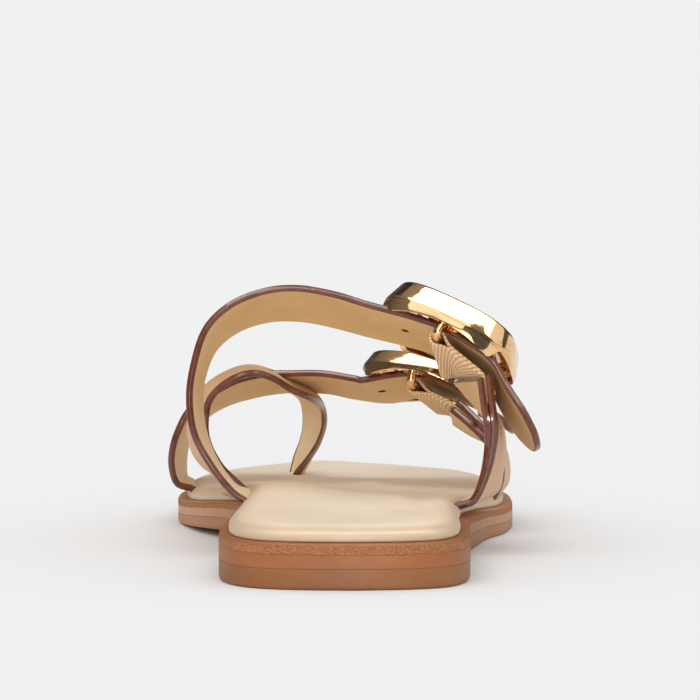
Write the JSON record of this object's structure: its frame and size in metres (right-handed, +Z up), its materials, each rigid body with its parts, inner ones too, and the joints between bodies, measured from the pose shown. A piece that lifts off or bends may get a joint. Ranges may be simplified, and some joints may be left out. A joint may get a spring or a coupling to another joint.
{
  "type": "sandal",
  "caption": "Flat leather toe-loop slide sandal for the right foot, with buckled instep and front straps, a moulded footbed and a layered leather sole.",
  "frame": {"origin": "middle of the heel's flat underside, on the floor", "axes": "+Y towards the toe, +Z up, +X towards the outer side of the foot"},
  "size_m": [0.1019, 0.252, 0.0726],
  "materials": {
    "outsole_leather": "smooth waxed edge of a stacked leather outsole",
    "midsole_leather": "waxed leather layer with a rough fibrous upper band",
    "footbed_leather": "smooth cream leather over soft foam",
    "strap_leather": "tan leather with suede-like inner face and glossy dark brown painted edges",
    "gold_metal": "polished pale gold plating",
    "webbing_fabric": "ribbed elastic webbing, matte"
  },
  "bodies": {
    "root": {"outsole": "outsole_leather", "midsole": "midsole_leather", "footbed": "footbed_leather", "instep_strap": "strap_leather", "front_strap": "strap_leather", "toe_strap": "strap_leather", "instep_anchor": "strap_leather", "front_anchor": "strap_leather", "instep_buckle_frame": "gold_metal", "front_buckle_frame": "gold_metal", "instep_buckle_prong": "gold_metal", "front_buckle_prong": "gold_metal", "instep_webbing": "webbing_fabric", "front_webbing": "webbing_fabric"}
  },
  "joints": []
}
